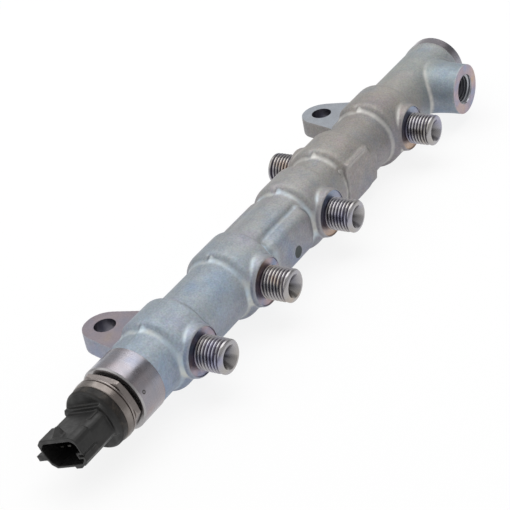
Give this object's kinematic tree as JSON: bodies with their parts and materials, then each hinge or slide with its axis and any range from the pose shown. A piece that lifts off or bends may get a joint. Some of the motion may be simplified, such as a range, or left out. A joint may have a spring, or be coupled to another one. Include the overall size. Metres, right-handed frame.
{
  "type": "fuel rail",
  "caption": "Forged steel high-pressure fuel rail with threaded conical-seat ports, mounting ears, a tapped side port and a screwed-in pressure sensor with a plastic connector.",
  "frame": {"origin": "midway between the two ear holes, on the seating plane of the ears", "axes": "+X along the rail from the sensor end to the far end, +Y from the rail towards the ears, +Z along the ear bolts, away from the engine"},
  "size_m": [0.3051, 0.0623, 0.033],
  "materials": {
    "zinc_steel": "zinc plated forged steel, matt, machined faces smoother",
    "nickel_steel": "turned steel, nickel plated, satin",
    "cell_steel": "turned stainless steel",
    "seal_rubber": "matt black rubber",
    "carrier_plastic": "pale moulded plastic or ceramic",
    "board": "green circuit board",
    "chip": "black moulded chip case",
    "tinned_contact": "tinned copper alloy",
    "housing_plastic": "black glass-filled plastic, matt"
  },
  "bodies": {
    "root": {"rail_body": "zinc_steel", "sensor_body": "nickel_steel", "measuring_cell": "cell_steel", "crimp_sleeve": "nickel_steel", "seal_ring": "seal_rubber", "board_carrier": "carrier_plastic", "circuit_board": "board", "signal_chip": "chip", "filter_capacitors": "carrier_plastic", "contact_spring_1": "tinned_contact", "contact_spring_2": "tinned_contact", "contact_spring_3": "tinned_contact", "sensor_housing": "housing_plastic", "terminal_1": "tinned_contact", "terminal_2": "tinned_contact", "terminal_3": "tinned_contact"}
  },
  "joints": []
}
